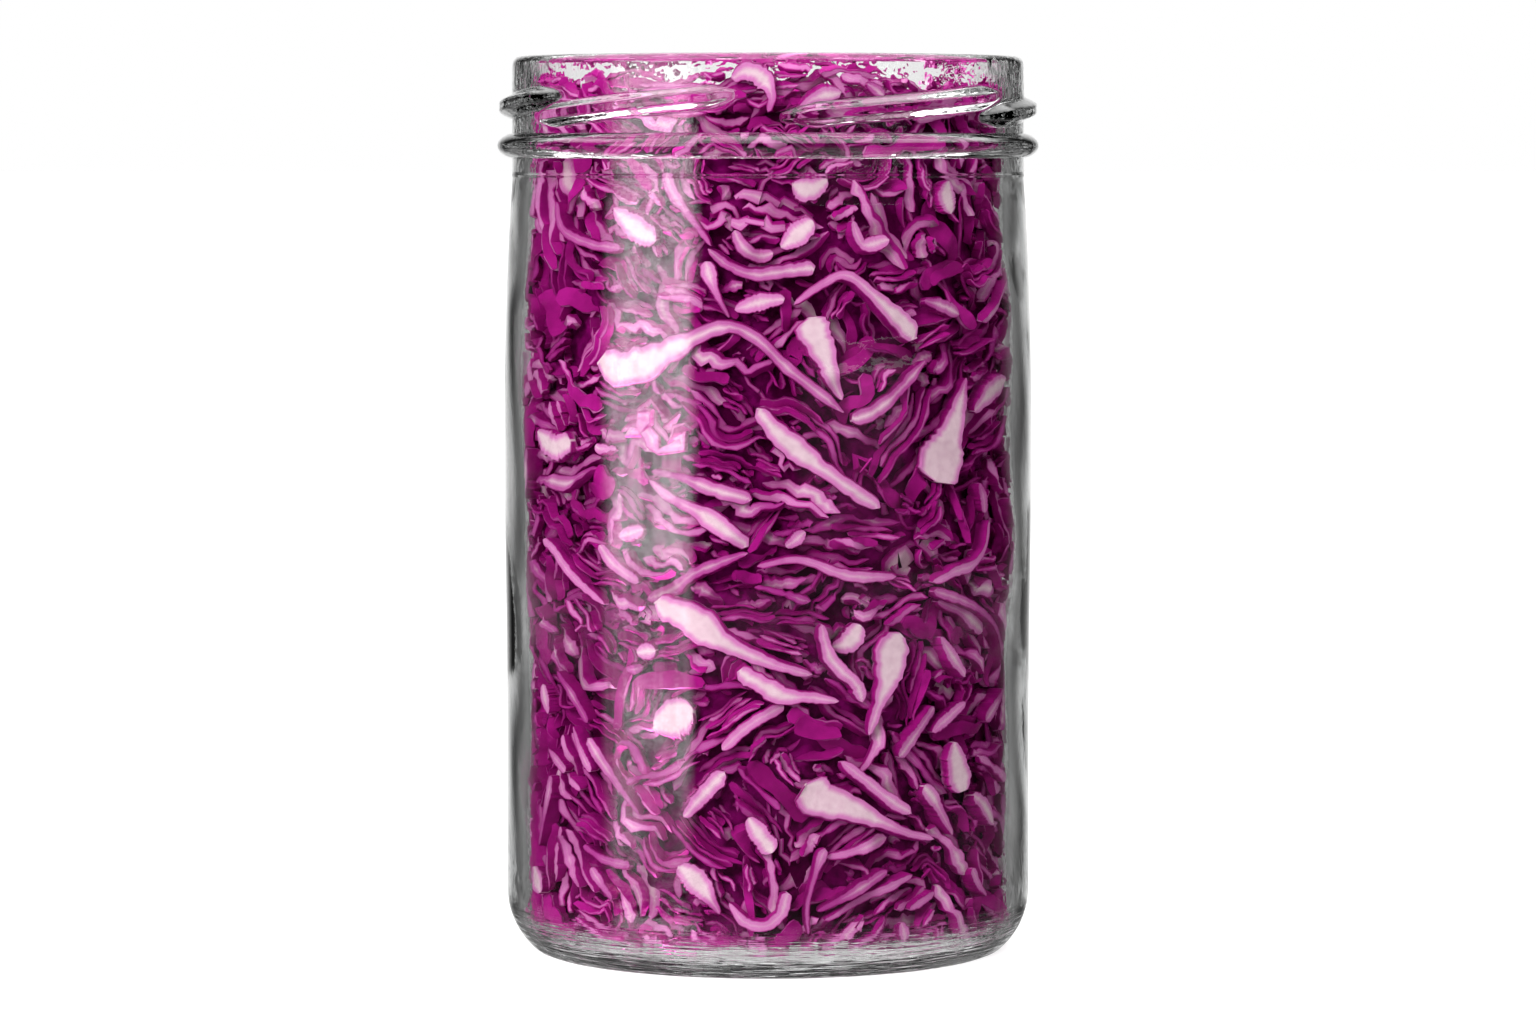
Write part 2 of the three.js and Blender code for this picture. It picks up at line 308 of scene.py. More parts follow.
def shred_material():
    """Cut leaf: dark magenta skins, lilac flesh between them, and cream where a rib was cut, with painted
    shade on shreds that lie deeper behind others.
    """
    material = bpy.data.materials.new("red_cabbage")
    nodes = Nodes(material)
    place = nodes.out("ShaderNodeTexCoord", "Object")
    across, leaf, tint, deep = map(nodes.attribute, ("across", "leaf", "tint", "deep"))
    blotches = nodes.noise(place, 180.0)
    streaks = nodes.noise(place, 420.0, 2.0)
    mottle = nodes.noise(place, 700.0, 4.0, 0.6)
    from_skin = (1.0 - across.math("ABSOLUTE")) * leaf * 0.5 + (mottle - 0.5) * 0.3
    # tint carries each bundle's own tone and also the painted light given to bundles up in the neck
    bright = blotches * 1.8 + streaks * 0.8 - 1.0 + (tint - 0.5) * 0.8
    skin = nodes.mix(bright.clamped(), DARK_SKIN, BRIGHT_SKIN)
    pale = leaf * 0.6 + tint * 1.8 - 0.9
    flesh = nodes.mix(pale.step(-0.3, 1.7), DEEP_FLESH, LILAC_FLESH)
    flesh = nodes.mix(from_skin.step(*CREAM_STARTS), flesh, CREAM_FLESH)
    flesh = nodes.mix((mottle - 0.4).clamped() * 0.7, flesh, skin)
    colour = nodes.mix(from_skin.step(*RIM_OF_SKIN), skin, flesh)
    # Painted shade: shreds lying deeper behind others are darkened towards SHADED_LEAF, standing in for the
    # shade between them
    colour = nodes.mix(deep.step(*SHADE_STARTS) * SHADE_SHARE, colour, SHADED_LEAF)
    bump = nodes.out("ShaderNodeBump", Strength=0.35, Distance=0.0003, Height=mottle)
    nodes.finish(nodes.add("ShaderNodeBsdfPrincipled", Base_Color=colour, Roughness=0.4,
                           Specular_IOR_Level=0.03, Normal=bump))
    return material


def core_material():
    """What shows in the deepest gaps: leaf skins, their colour darkened as painted shade, in painted lit and
    shaded folds.
    """
    material = bpy.data.materials.new("cabbage_in_shade")
    nodes = Nodes(material)
    folds = nodes.noise(nodes.out("ShaderNodeTexCoord", "Object"), 260.0)
    # Painted light and shade: folds picked by noise are coloured as shaded or lit skin
    colour = nodes.mix(folds.step(0.4, 0.7), SHADED_FOLD, LIT_FOLD)
    bump = nodes.out("ShaderNodeBump", Strength=0.6, Distance=0.001, Height=folds)
    nodes.finish(nodes.add("ShaderNodeBsdfPrincipled", Base_Color=colour, Roughness=0.6,
                           Specular_IOR_Level=0.0, Normal=bump))
    return material


def floor_material():
    material = bpy.data.materials.new("pale_floor")
    nodes = Nodes(material)
    nodes.finish(nodes.add("ShaderNodeBsdfPrincipled", Base_Color=rgb(0.5, 0.5, 0.5), Roughness=0.9,
                           Emission_Color=rgb(1, 1, 1), Emission_Strength=0.7))
    return material


# Shapes that are turned


def deselect():
    for thing in list(bpy.context.selected_objects):
        thing.select_set(False)


def spin_profile(name, profile, steps):
    """A closed solid of revolution: a point is extruded along the profile and the line is spun round z."""
    deselect()
    bpy.ops.mesh.primitive_plane_add(size=MM, location=(0, 0, 0))
    thing = bpy.context.object
    thing.name = name
    bpy.ops.object.mode_set(mode="EDIT")
    shape = bmesh.from_edit_mesh(thing.data)
    bmesh.ops.delete(shape, geom=shape.verts[1:], context="VERTS")
    shape.verts[:][0].co = (0, 0, profile[0][1] * MM)
    bmesh.update_edit_mesh(thing.data)
    bpy.ops.mesh.select_all(action="SELECT")
    for (r0, z0), (r1, z1) in zip(profile, profile[1:]):
        move = (0, -(r1 - r0) * MM, (z1 - z0) * MM)
        bpy.ops.mesh.extrude_region_move(TRANSFORM_OT_translate={"value": move})
    bpy.ops.mesh.select_all(action="SELECT")
    bpy.ops.mesh.spin(steps=steps, angle=2 * math.pi, center=(0, 0, 0), axis=(0, 0, 1))
    bpy.ops.mesh.select_all(action="SELECT")
    bpy.ops.mesh.remove_doubles(threshold=WELD * MM)
    bpy.ops.mesh.normals_make_consistent(inside=False)
    bpy.ops.object.mode_set(mode="OBJECT")
    return thing


def arc(centre_radius, centre_height, size, start, end, steps):
    """Points of a profile on an arc, between two angles up from level."""
    return [(centre_radius + size * math.cos(a), centre_height + size * math.sin(a))
            for a in np.linspace(start, end, steps)]


def jar_profile():
    """Radius and height of the glass from the middle of the base, up the outside and down the inside."""
    hollow = [(RING_INNER * s, PUSH_UP * (1 - s**4)) for s in np.linspace(0, 1, 12)]
    heel_starts = -math.asin((HEEL_TOP - RING_EDGE) / HEEL_ARC)
    heel = arc(HEEL_WALL_RADIUS - HEEL_ARC, HEEL_TOP, HEEL_ARC, heel_starts, 0, 14)
    wall = [(outside_radius(z), z) for z in np.linspace(WALL_STARTS, SHOULDER_TOP - 1, 28)]
    parting = [(NECK_RADIUS + PARTING_PROUD * math.exp(-((z - PARTING_HEIGHT) / PARTING_WIDTH) ** 2), z)
               for z in np.linspace(SHOULDER_TOP - 0.2, SHOULDER_TOP + 1.2, 10)]
    bead_proud = BEAD_CREST - NECK_RADIUS
    bead = [(NECK_RADIUS + bead_proud * (1 - s * s) ** BEAD_FULLNESS, BEAD_HEIGHT + s * BEAD_HALF_WIDTH)
            for s in np.sin(np.linspace(-math.pi / 2, math.pi / 2, 19))]
    thread = [(NECK_RADIUS, z) for z in np.linspace(THREAD_FOOT, THREAD_HEAD, 44)]
    lip = arc(LIP_RADIUS - LIP_CORNER, JAR_HEIGHT - LIP_CORNER, LIP_CORNER, 0, math.pi / 2, 9)
    mouth = arc(MOUTH_RADIUS + MOUTH_CORNER, JAR_HEIGHT - MOUTH_CORNER, MOUTH_CORNER,
                math.pi / 2, math.pi, 7)
    inner_neck = [(MOUTH_RADIUS, z) for z in np.linspace(JAR_HEIGHT - 2.5, MOUTH_STARTS, 8)]
    inner_wall = [(inside_radius(z), z) for z in np.linspace(MOUTH_STARTS - 2, CORNER_TOP + 2, 34)]
    corner = arc(FLAT_FLOOR, CORNER_TOP, CORNER_ARC, 0, -math.pi / 2, 13)
    floor = [(r, float(inside_floor(r))) for r in np.linspace(DOME_RADIUS, 0, 9)]
    return [*hollow, (RING_OUTER, 0), *heel, *wall, *parting, *bead, *thread, *lip, *mouth, *inner_neck,
            *inner_wall, *corner, *floor]


def thread_height(angle, z):
    """How far the six leads stand out of the neck at each angle and height."""
    proud = np.zeros_like(z)
    for half in (0, 180):
        for start, end in LEADS_OF_HALF:
            along = ((np.degrees(angle) - start - half) % 360) / (end - start)
            ends = smoothstep(np.minimum(along, 1 - along), -0.01, LEAD_FADE)
            middle = blend(THREAD_LOW, THREAD_HIGH, along)
            half_width = THREAD_HALF_WIDTH * blend(LEAD_END_WIDTH, 1, ends)
            section = smoothstep(-np.abs(z - middle) / half_width, -1, -LEAD_FLAT)
            lead = (THREAD_CREST - NECK_RADIUS) * ends * section
            proud = np.maximum(proud, np.where(along < 1, lead, 0))
    return proud


def wall_waves(angle, z):
    """How far the inside of the wall stands back, uneven as pressed glass is, and even at both ends."""
    waves = (np.sin(3 * angle + z / 17 + 1) + np.sin(5 * angle - z / 11) + np.sin(2 * angle + z / 7.3 + 2)
             + 0.6 * np.sin(11 * angle + z / 5.1))
    from_corner = smoothstep(z, CORNER_TOP, CORNER_TOP + WAVES_MEET_CORNER)
    to_mouth = smoothstep(z, MOUTH_STARTS - WAVES_MEET_MOUTH, MOUTH_STARTS + WAVES_MEET_MOUTH)
    return WALL_WAVES * (waves + 0.6) * from_corner * (1 - to_mouth)


def make_jar():
    """The glass, turned in one piece, with the thread raised on its neck and a slightly wavy inside."""
    jar = spin_profile("glass_jar", jar_profile(), AROUND)
    points = np.empty(len(jar.data.vertices) * 3)
    jar.data.vertices.foreach_get("co", points)
    points = points.reshape(-1, 3) / MM
    radius = np.hypot(points[:, 0], points[:, 1])
    angle = np.arctan2(points[:, 0], -points[:, 1])
    z = points[:, 2]
    on_neck = (radius > NECK_RADIUS - 0.1) & (z > THREAD_FOOT - 0.1) & (z < THREAD_HEAD + 0.1)
    on_bore = (z > CORNER_TOP) & (z < MOUTH_STARTS + WAVES_MEET_MOUTH) & (radius < inside_radius(z) + 0.4)
    grow = np.where(on_neck, thread_height(angle, z), 0) + np.where(on_bore, wall_waves(angle, z), 0)
    points[:, :2] *= (1 + grow / np.maximum(radius, 1))[:, None]
    jar.data.vertices.foreach_set("co", (points * MM).ravel())
    jar.data.update()
    bpy.ops.object.shade_smooth_by_angle(angle=math.radians(40))
    return jar


def heap_top(radius):
    return blend(HEAP_MIDDLE, HEAP_EDGE, smoothstep(radius, DISH_RADIUS, DISH_RIM))


def make_core():
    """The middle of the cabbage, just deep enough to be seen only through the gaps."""
    floor = [(r, float(inside_floor(r)) + CORE_DEPTH) for r in (0, 8, 16, 24)]
    corner = arc(FLAT_FLOOR, CORNER_TOP, CORNER_ARC - CORE_DEPTH, -1.45, 0, 6)
    wall = [(inside_radius(z) - CORE_DEPTH, z) for z in np.linspace(CORNER_TOP + 4, 124, 40)]
    top = [(r, float(heap_top(r)) - TOP_LAYERS) for r in (32, 29, 24, 16, 8, 0)]
    core = spin_profile("cabbage_core", [*floor, *corner, *wall, *top], 96)
    bpy.ops.object.shade_smooth()
    return core


# The inside of the glass, unrolled: u runs round it, and v up it from where the floor ends

CORNER_LENGTH = CORNER_ARC * math.pi / 2
ROUND = 2 * math.pi * BELLY_BORE
CLIMB = CORNER_LENGTH - CORNER_TOP
RIM = JAR_HEIGHT + CLIMB


def on_wall(u, v, depth):
    """Points at a depth behind the inside of the glass."""
    turn = np.clip(v / CORNER_ARC, 0, math.pi / 2)
    in_corner = v < CORNER_LENGTH
    height = np.where(in_corner, CORNER_TOP - CORNER_ARC * np.cos(turn), v - CLIMB)
    radius = np.where(in_corner, FLAT_FLOOR + CORNER_ARC * np.sin(turn), inside_radius(height))
    radius = radius - np.sin(turn) * (depth + GLASS_GAP)
    height = height + np.cos(turn) * (depth + GLASS_GAP)
    angle = u / BELLY_BORE
    return np.stack([radius * np.sin(angle), -radius * np.cos(angle), height], -1)


def on_floor(u, v, depth):
    """Points at a height over the floor of the glass, seen from below."""
    return np.stack([u, -v, inside_floor(np.hypot(u, v)) + GLASS_GAP + depth], -1)


def on_top(u, v, height):
    """Points at a height over the core's top."""
    return np.stack([u, v, heap_top(np.hypot(u, v)) - TOP_LAYERS + height], -1)


def hill(degrees, size, middle, spread):
    return size * np.exp(-(((degrees - middle) / spread) ** 2))


def heap_edge(angle):
    """Height of the heap's edge at the glass: highest a little right of the front, falling to the right."""
    degrees = np.degrees((angle + math.pi) % (2 * math.pi) - math.pi)
    front = hill(degrees, *EDGE_RISE) - hill(degrees, *EDGE_FALL)
    return EDGE_HEIGHT + front + 0.35 * np.sin(7 * angle) + 0.3 * np.sin(12 * angle + 2)


# How shreds are laid, in millimetres: a grid's cell and the share of it between marks, how steeply a shred
# bends over others, how far it sinks between them, how far behind its middle the next one may start, as a
# share of half its depth, and how deep the layers go

CELL, FINE = 0.35, 0.8
LAY_SLOPE, LAY_SINK, PRESSED = 0.45, 0.3, 0.1
WALL_LAYERS, DISC_LAYERS = 3.0, 4.4


def sideways(line):
    way = np.gradient(line, axis=0)
    way /= np.hypot(*way.T)[:, None]
    return np.stack([-way[:, 1], way[:, 0]], -1)


def lengths_along(line):
    return np.concatenate([[0], np.cumsum(np.hypot(*np.diff(line, axis=0).T))])


class Packing:
    """How far a surface is covered, on a grid. Each new shred lies behind, or on, those already there."""

    def __init__(self, low, high, limit, wraps=False):
        self.limit = limit
        self.low = np.array(low, float)
        self.size = np.ceil((np.array(high) - self.low) / CELL).astype(int)
        self.wraps = wraps
        self.covered = np.zeros(self.size)

    def cells(self, spots):
        index = np.floor((spots - self.low) / CELL).astype(int)
        first = index[..., 0] % self.size[0] if self.wraps else np.clip(index[..., 0], 0, self.size[0] - 1)
        return first, np.clip(index[..., 1], 0, self.size[1] - 1)

    def covered_at(self, spots):
        return self.covered[self.cells(spots)]

    def lay(self, shred):
        """Sets how deep the shred lies along its line, and marks what it covers."""
        line, side, along = shred.line, sideways(shred.line), lengths_along(shred.line)
        reach, half_depth = shred.extents()
        offsets = np.linspace(-0.9, 0.9, 5)
        spots = line[:, None] + side[:, None] * (reach[:, None] * offsets)[..., None]
        under = self.covered_at(spots).max(axis=1)
        under = np.maximum(under, shred.recess)
        near = (under[None] - LAY_SLOPE * np.abs(along[:, None] - along[None])).max(axis=1)
        padded = np.pad(near, 2, mode="edge")
        smooth = np.convolve(padded, (0.1, 0.2, 0.4, 0.2, 0.1), "valid")
        shred.depth = np.maximum(smooth, near - LAY_SINK) + half_depth
        if (shred.depth - half_depth).max() > self.limit:
            return False
        fine = np.arange(0, along[-1], CELL * FINE)
        across = np.linspace(-1, 1, max(3, int(2 * reach.max() / CELL / FINE)))
        middle = np.stack([np.interp(fine, along, line[:, i]) for i in (0, 1)], -1)
        beside = np.stack([np.interp(fine, along, side[:, i]) for i in (0, 1)], -1)
        wide = np.interp(fine, along, reach)
        back = np.interp(fine, along, shred.depth + PRESSED * half_depth)
        spots = middle[:, None] + beside[:, None] * (wide[:, None] * across)[..., None]
        np.maximum.at(self.covered, self.cells(spots), np.broadcast_to(back[:, None], spots.shape[:2]))
        return True


# A shred's section: across the leaf from skin to skin, and through the cut, which faces the glass

SECTION = np.array([(-0.88, 1), (0.88, 1), (1, 0.55), (0.9, -1), (-0.9, -1), (-1, 0.55)])
TIP_WIDTH, TIP_CUT = 0.12, 0.45


class Shred:
    """A strip cut across a leaf. Its leaf size is across the cut face, and its cut size through it."""

    def __init__(self, line, leaf, cut, twist, tint, rough, recess):
        count = len(line)
        self.line = line
        self.leaf = np.broadcast_to(leaf, count) * 1.0
        self.cut = np.broadcast_to(cut, count) * 1.0
        self.twist = np.broadcast_to(twist, count) * 1.0
        self.tint = tint
        self.depth = None
        self.recess = abs(draw.normal(0, recess))
        self.edges = 1 + draw.normal(0, rough, (count, 2))

    def extents(self):
        cosine, sine = np.abs(np.cos(self.twist)), np.abs(np.sin(self.twist))
        return (self.leaf * cosine + self.cut * sine) / 2, (self.cut * cosine + self.leaf * sine) / 2

    def ended(self, first_tips, last_tips):
        """Both edges drawn in at the ends, each over its own length: blunt, pointed or slanting cuts."""
        along = lengths_along(self.line)
        for reach, tips in ((along, first_tips), (along[-1] - along, last_tips)):
            share = np.clip(reach[:, None] / np.minimum(tips, along[-1] / 2), 0, 1)
            taper = np.sqrt(share * (2 - share)) * (1 - TIP_WIDTH) + TIP_WIDTH
            self.edges = self.edges * taper
            self.cut = self.cut * (TIP_CUT + (1 - TIP_CUT) * taper.mean(axis=1))
        return self

    def points(self, place):
        a, b = SECTION[:, 0], SECTION[:, 1]
        cosine, sine = np.cos(self.twist)[:, None], np.sin(self.twist)[:, None]
        leaf, cut = self.leaf[:, None] / 2, self.cut[:, None] / 2
        ragged = np.where(a < 0, self.edges[:, :1], self.edges[:, 1:])
        aside = a * leaf * cosine * ragged - b * cut * sine
        forward = a * leaf * sine + b * cut * cosine
        flat = self.line[:, None] + sideways(self.line)[:, None] * aside[..., None]
        return place(flat[..., 0], flat[..., 1], self.depth[:, None] - forward)


def smooth_path(points, count):
    """A curve through the points, in even steps."""
    points = np.array(points, float)
    chord = lengths_along(points)
    slope = np.gradient(points, chord, axis=0)
    dense = []
    for i in range(len(points) - 1):
        t = np.linspace(0, 1, 12, endpoint=False)[:, None]
        span = chord[i + 1] - chord[i]
        dense.append((2 * t**3 - 3 * t**2 + 1) * points[i] + (t**3 - 2 * t**2 + t) * span * slope[i]
                     + (3 * t**2 - 2 * t**3) * points[i + 1] + (t**3 - t**2) * span * slope[i + 1])
    dense = np.vstack([*dense, points[-1:]])
    length = lengths_along(dense)
    even = np.linspace(0, length[-1], count)
    return np.stack([np.interp(even, length, dense[:, i]) for i in (0, 1)], -1)


def teardrop(along, widest, narrowest, share):
    """Leaf size along a shred cut through a rib: a round head, and a long tail on the longer side of it."""
    head = min(share, 1 - share) * along[-1] + widest * 0.2
    tail = along[-1] - head
    towards_tail = 1 if share < 0.5 else -1
    away = (along - share * along[-1]) * towards_tail
    swell = np.where(away < 0, np.sqrt(np.maximum(1 - (away / (head * 1.05)) ** 2, 0)),
                     np.exp(-((np.maximum(away, 0) / (0.75 * widest + 0.12 * tail)) ** 1.6)))
    return narrowest + (widest - narrowest) * swell


# How a shred's line bends and turns, in radians: its bend for each millimetre, and its slow and quick waves

PHASES = (0, 6.3)
BENDS, SLOW_TURNS, QUICK_TURNS = 0.042, 0.42, 0.34


def wave(far, lengths):
    return np.sin(far * 2 * math.pi / draw.uniform(*lengths) + draw.uniform(*PHASES))


def uneven(count, length, amount):
    """A factor that swells and thins along a shred."""
    far = np.linspace(0, length, count)
    slow = wave(far, (6, 14))
    quick = wave(far, (2.2, 4))
    return 1 + amount * slow + 0.45 * amount * quick


def wandering_line(middle, heading, length, count):
    """A bent and wavy line through a point of the unrolled wall."""
    far = np.linspace(-0.5, 0.5, count) * length
    calm = draw.uniform(0.3, 1.5)
    bend = draw.normal(0, BENDS) * far
    slow = draw.normal(0, SLOW_TURNS) * wave(far, (8, 15))
    quick = draw.normal(0, QUICK_TURNS) * wave(far, (3, 5))
    angles = heading + bend + calm * (slow + quick)
    line = np.cumsum(np.stack([np.cos(angles), np.sin(angles)], -1), axis=0) * length / (count - 1)
    return line - line[count // 2] + middle


# Shreds that stand out in the photo: the pixels along each one, then its widest and narrowest pixels
# and where along it the widest place is

SEEN_SHREDS = {
    "long rib across the upper middle": (
        [(601, 364), (629, 368), (671, 349), (702, 334), (730, 326), (756, 338), (785, 366), (812, 388),
         (842, 412)], 38, 13, 0.14),
    "rib beside it": ([(808, 318), (815, 335), (824, 358), (832, 382), (842, 400)], 38, 12, 0.18),
    "cream drop on the right": ([(936, 482), (943, 455), (953, 418), (961, 378)], 50, 8, 0.22),
    "long middle strip": ([(757, 408), (781, 435), (805, 455), (850, 488), (878, 507)], 24, 16, 0.4),
    "broad strip in the middle": ([(655, 603), (690, 618), (722, 640), (785, 667), (812, 674)], 36, 12, 0.3),
    "strip under it": ([(737, 672), (760, 683), (780, 695), (808, 697), (838, 701)], 22, 13, 0.35),
    "short strip rising": ([(722, 750), (741, 731), (760, 718), (784, 706)], 14, 12, 0.5),
    "rib leaning left": ([(897, 632), (891, 652), (888, 676), (880, 700), (868, 735)], 36, 12, 0.25),
    "strip along it": ([(820, 624), (828, 655), (840, 671), (855, 684), (862, 702)], 17, 12, 0.5),
    "lobe over it": ([(834, 648), (848, 643), (858, 624)], 24, 12, 0.55),
    "long rib low on the right": (
        [(806, 785), (817, 797), (848, 808), (878, 821), (905, 833), (932, 839)], 42, 10, 0.16),
    "thin strip over it": ([(840, 762), (860, 777), (896, 805), (910, 813)], 15, 11, 0.5),
    "oval rib on the right": ([(952, 742), (956, 765), (963, 790)], 32, 14, 0.5),
    "strip below the oval": ([(922, 786), (930, 796), (939, 813), (950, 834)], 18, 12, 0.2),
    "strip at the right edge": ([(970, 795), (981, 806), (989, 823)], 22, 12, 0.5),
    "thin strip low on the right": ([(932, 706), (914, 734), (898, 757)], 14, 12, 0.5),
    "next thin strip": ([(962, 702), (948, 716), (931, 732)], 13, 10, 0.5),
    "thin strip above": ([(937, 637), (949, 656), (962, 676)], 16, 10, 0.5),
    "pale oval on the left": ([(652, 728), (671, 720), (692, 712)], 40, 20, 0.5),
    "short rib low in the middle": ([(748, 818), (759, 834), (773, 852)], 24, 12, 0.5),
    "rib near the bottom": ([(678, 866), (697, 884), (719, 914)], 26, 10, 0.35),
    "arc near the bottom": ([(729, 903), (744, 921), (766, 925), (781, 912), (786, 892)], 15, 11, 0.8),
    "thin strip low on the left": ([(590, 738), (603, 761), (617, 782), (640, 814)], 16, 7, 0.3),
    "strip left of it": ([(576, 726), (585, 755), (593, 771)], 14, 7, 0.7),
    "rising strip low down": ([(684, 817), (701, 797), (724, 772)], 20, 14, 0.5),
    "upright strip at the left edge": ([(556, 775), (552, 800), (545, 845)], 13, 6, 0.4),
    "rising middle strip": ([(647, 600), (670, 591), (697, 573), (724, 562), (748, 553)], 15, 12, 0.3),
    "falling middle strip": ([(652, 480), (671, 497), (694, 509), (719, 525), (748, 546)], 21, 11, 0.65),
    "level strip over it": ([(653, 471), (686, 478), (710, 488), (752, 499)], 17, 7, 0.5),
    "falling strip on the left": ([(550, 539), (561, 552), (572, 570), (607, 604)], 12, 10, 0.3),
    "oval at the left edge": ([(536, 448), (532, 473), (527, 497)], 21, 8, 0.5),
    "bent rib on the left": ([(546, 432), (562, 447), (576, 440)], 30, 16, 0.5),
    "pale rib at the upper left": ([(611, 209), (632, 227), (655, 240)], 28, 14, 0.6),
    "thin strip beside it": ([(663, 173), (671, 195), (684, 212), (710, 246)], 15, 7, 0.3),
    "thin strip under it": ([(704, 262), (712, 285), (728, 318)], 16, 6, 0.25),
    "level strip at the top": ([(706, 249), (727, 264), (752, 274), (782, 271), (815, 266)], 17, 12, 0.8),
    "curl above it": ([(733, 231), (743, 249), (758, 257), (773, 253)], 16, 12, 0.5),
    "rib beside the curl": ([(781, 248), (796, 236), (813, 221)], 25, 16, 0.5),
    "short strip at the top": ([(735, 310), (758, 302), (784, 298)], 18, 12, 0.5),
    "wavy strip at the upper left": ([(556, 203), (559, 222), (588, 244), (620, 249)], 12, 9, 0.5),
    "pale rib under the bead": ([(793, 184), (812, 189), (829, 179)], 26, 16, 0.5),
    "pale rib at the upper right": ([(950, 181), (949, 197), (953, 214)], 27, 14, 0.5),
    "arched strip": ([(794, 305), (818, 288), (842, 276), (876, 300), (914, 338)], 26, 10, 0.8),
    "curl in the upper right": ([(853, 222), (863, 246), (890, 240)], 16, 11, 0.6),
    "rising strip on the right": ([(850, 421), (874, 411), (893, 394), (921, 361)], 18, 13, 0.15),
    "short level strip": ([(921, 301), (938, 306), (954, 314)], 17, 10, 0.5),
    "short pale rib in the middle": ([(785, 546), (795, 539), (804, 531)], 16, 12, 0.6),
    "pale round on the left": ([(638, 653), (647, 651), (656, 650)], 18, 12, 0.5),
    "small pale round": ([(627, 669), (634, 668), (641, 666)], 11, 8, 0.5),
    "falling strip at the left edge": ([(561, 671), (577, 698), (590, 722)], 12, 8, 0.5),
    "pale piece at the left edge": ([(548, 684), (550, 698), (553, 713)], 16, 9, 0.4),
    "chip under it": ([(554, 749), (561, 760), (569, 771)], 12, 9, 0.5),
    "chip below that": ([(564, 771), (573, 780), (583, 789)], 10, 7, 0.5),
    "outer curve on the right": ([(929, 591), (952, 598), (975, 610), (992, 634), (997, 660)], 13, 7, 0.3),
    "upright piece on the right": ([(973, 483), (977, 497), (978, 512)], 13, 8, 0.5),
    "pale piece at the right edge": ([(1000, 498), (1004, 511), (1008, 524)], 14, 8, 0.5),
    "curve on the right": ([(931, 582), (950, 571), (968, 563), (978, 545), (981, 520)], 12, 8, 0.4),
    "falling pale strip on the left": ([(603, 545), (618, 565), (641, 582)], 16, 10, 0.4),
    "level pale piece on the left": ([(622, 536), (634, 533), (646, 529)], 15, 10, 0.5),
    "leaning piece on the right": ([(998, 689), (990, 705), (981, 721)], 14, 7, 0.5),
    "stem low in the middle": ([(824, 848), (814, 876), (806, 912), (808, 934)], 12, 6, 0.1),
    "rising strip at the bottom": ([(817, 911), (850, 894), (886, 870)], 13, 8, 0.6),
    "strip beside it": ([(824, 920), (870, 896), (911, 874)], 10, 7, 0.5),
    "strip low on the right": ([(828, 859), (858, 851), (890, 838)], 14, 9, 0.6),
    "pale sliver low on the right": ([(968, 868), (973, 882), (981, 895)], 13, 6, 0.4),
    "short strip at the bottom right": ([(908, 909), (920, 901), (932, 892)], 11, 8, 0.5),
    "pale end at the bottom": ([(900, 922), (903, 931), (905, 940)], 13, 10, 0.5),
    "strip low on the left": ([(585, 846), (607, 861), (630, 866)], 11, 7, 0.5),
    "strip in the bottom left": ([(592, 868), (602, 884), (613, 899)], 13, 7, 0.4),
    "rising rib on the right": ([(968, 411), (978, 398), (996, 379)], 24, 14, 0.5),
    "wavy strip in the middle": ([(757, 566), (796, 559), (846, 575), (893, 576)], 13, 8, 0.5),
    "strip on the right": ([(938, 602), (960, 611), (984, 631)], 18, 10, 0.7),
    "round end at the left corner": ([(539, 866), (541, 879), (545, 892)], 22, 14, 0.5),
    "curl over the edge": ([(730, 78), (748, 71), (766, 82), (772, 97), (768, 112)], 21, 7, 0.45),
    "pale piece beside the curl": ([(800, 106), (818, 96), (843, 92)], 18, 10, 0.6),
    "pale chip at the edge": ([(869, 84), (878, 90), (886, 97)], 15, 12, 0.5),
}
SEEN_RINGS = 30
SEEN_CUTS, SEEN_TWIST, SEEN_ROUGH, SEEN_UNEVEN = (1.5, 2.1), 0.1, 0.06, 0.1
LONG_TIP, SHORT_TIP, TIP_SPREAD = 3, 0.7, (0.6, 1.5)


def seen_shreds():
    shreds = []
    for pixels, widest, narrowest, share in SEEN_SHREDS.values():
        spots = [(angle * BELLY_BORE, height + CLIMB) for angle, height in map(seen_on_wall, pixels)]
        line = smooth_path(spots, SEEN_RINGS)
        along = lengths_along(line)
        cut, twist, tint = draw.uniform(*SEEN_CUTS), draw.normal(0, SEEN_TWIST), draw.random()
        shred = Shred(line, 1.0, cut, twist, tint, SEEN_ROUGH, 0.0)
        tip = narrowest / PIXELS_PER_MM
        shred.leaf = teardrop(along, widest / PIXELS_PER_MM, tip, share)
        shred.leaf *= uneven(SEEN_RINGS, along[-1], SEEN_UNEVEN)
        first = SHORT_TIP if share < 0.4 else LONG_TIP if share > 0.6 else 1
        last = LONG_TIP if share < 0.4 else SHORT_TIP if share > 0.6 else 1
        first_tips = first * tip * draw.uniform(*TIP_SPREAD, 2)
        last_tips = last * tip * draw.uniform(*TIP_SPREAD, 2)
        shreds.append(shred.ended(first_tips, last_tips))
    return shreds


# The kinds of shred that fill the rest, in millimetres: leaf size, cut size and length, how many sections,
# how far each is turned out of the wall in radians, and how many lie side by side in a bundle

